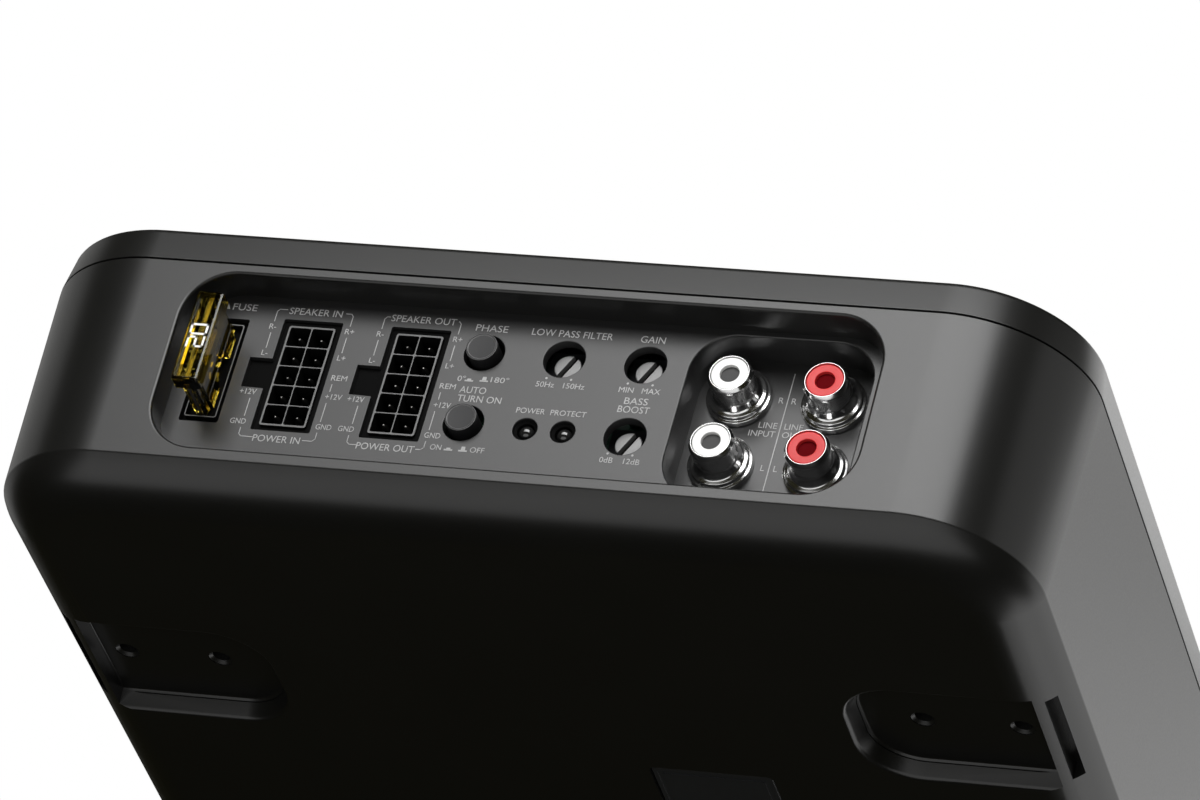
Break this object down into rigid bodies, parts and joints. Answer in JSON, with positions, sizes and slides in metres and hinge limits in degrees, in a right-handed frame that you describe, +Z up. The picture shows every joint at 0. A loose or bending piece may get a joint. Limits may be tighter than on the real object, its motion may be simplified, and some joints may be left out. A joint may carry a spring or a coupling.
{
  "type": "car subwoofer amplifier",
  "caption": "Flat car subwoofer amplifier: grey rounded case, recessed panel with blade fuse, power headers, line jacks, buttons and trimmers, slim woofer behind a grille.",
  "frame": {"origin": "centre of the bounding box at the flat underside, with the fuse counted in the box", "axes": "+X to the right seen from the control panel, +Y from the control panel towards the rear, +Z up"},
  "size_m": [0.199, 0.279, 0.0553],
  "materials": {
    "case_paint": "satin dark grey paint on die-cast shells",
    "panel_paint": "fine satin mid grey with light grey printed legends",
    "black_plastic": "satin moulded black plastic",
    "grille_steel": "black powder coat on perforated sheet",
    "rubber": "matt black rubber",
    "amber_plastic": "clear yellow moulded plastic",
    "tinned_metal": "bright tin plating",
    "nickel_plate": "polished nickel plating",
    "white_plastic": "glossy white plastic",
    "red_plastic": "glossy light red plastic",
    "dark_plastic": "satin dark plastic",
    "lamp_lens": "smoked clear lens",
    "circuit_board": "green solder mask",
    "copper_winding": "enamelled copper wire",
    "bare_aluminium": "extruded, uncoated",
    "steel": "zinc-plated sheet and turned steel",
    "ferrite": "ground ferrite",
    "black_paper": "pressed black fibre",
    "spider_cloth": "resin-stiffened woven cloth"
  },
  "bodies": {
    "enclosure": {"lower_case": "case_paint", "top_cover": "case_paint", "control_panel": "panel_paint", "fuse_holder": "black_plastic", "power_in_housing": "black_plastic", "power_out_housing": "black_plastic", "phase_switch": "black_plastic", "auto_switch": "black_plastic", "amp_partition": "black_plastic", "speaker_grille": "grille_steel", "cover_gasket": "rubber", "woofer_surround": "rubber", "power_in_pins": "tinned_metal", "power_out_pins": "tinned_metal", "line_in_right_shell": "nickel_plate", "line_in_left_shell": "nickel_plate", "line_out_right_shell": "nickel_plate", "line_out_left_shell": "nickel_plate", "line_in_right_insulator": "white_plastic", "line_in_left_insulator": "white_plastic", "line_out_right_insulator": "red_plastic", "line_out_left_insulator": "red_plastic", "low_pass_trimmer": "dark_plastic", "gain_trimmer": "dark_plastic", "boost_trimmer": "dark_plastic", "label_plate": "dark_plastic", "power_transistor_1": "dark_plastic", "power_transistor_2": "dark_plastic", "capacitor_1": "dark_plastic", "capacitor_2": "dark_plastic", "capacitor_3": "dark_plastic", "capacitor_4": "dark_plastic", "power_light": "lamp_lens", "protect_light": "lamp_lens", "main_board": "circuit_board", "control_board": "circuit_board", "power_transformer": "copper_winding", "output_inductor": "copper_winding", "heat_sink": "bare_aluminium", "woofer_basket": "steel", "woofer_yoke": "steel", "woofer_top_plate": "steel", "woofer_screw_1": "steel", "woofer_screw_2": "steel", "woofer_screw_3": "steel", "woofer_screw_4": "steel", "woofer_magnet": "ferrite", "woofer_spider": "spider_cloth"},
    "fuse": {"fuse_body": "amber_plastic", "fuse_element": "tinned_metal"},
    "phase_key": {"phase_button": "black_plastic"},
    "auto_key": {"auto_button": "black_plastic"},
    "low_pass_dial": {"low_pass_shaft": "nickel_plate"},
    "gain_dial": {"gain_shaft": "nickel_plate"},
    "boost_dial": {"boost_shaft": "nickel_plate"},
    "woofer_moving_parts": {"woofer_cone": "black_paper", "dust_cap": "black_paper", "voice_coil": "copper_winding"}
  },
  "joints": [
    {"name": "fuse_pull", "type": "slide", "parent": "enclosure", "child": "fuse", "axis": [0, -1, 0], "range_m": [0, 0.022]},
    {"name": "phase_press", "type": "slide", "parent": "enclosure", "child": "phase_key", "axis": [0, 1, 0], "range_m": [0, 0.0018], "stiffness_N_per_m": 400},
    {"name": "auto_press", "type": "slide", "parent": "enclosure", "child": "auto_key", "axis": [0, 1, 0], "range_m": [0, 0.0018], "stiffness_N_per_m": 400},
    {"name": "low_pass_turn", "type": "hinge", "parent": "enclosure", "child": "low_pass_dial", "pos_m": [0.00585, -0.1285, 0.0371], "axis": [0, 1, 0], "range_deg": [0, 300]},
    {"name": "gain_turn", "type": "hinge", "parent": "enclosure", "child": "gain_dial", "pos_m": [0.02115, -0.1285, 0.0371], "axis": [0, 1, 0], "range_deg": [0, 300]},
    {"name": "boost_turn", "type": "hinge", "parent": "enclosure", "child": "boost_dial", "pos_m": [0.02115, -0.1285, 0.0218], "axis": [0, 1, 0], "range_deg": [0, 300]},
    {"name": "cone_travel", "type": "slide", "parent": "enclosure", "child": "woofer_moving_parts", "axis": [0, 0, 1], "range_m": [-0.003, 0.003], "stiffness_N_per_m": 2500, "deforming": ["woofer_surround", "woofer_spider"]}
  ]
}
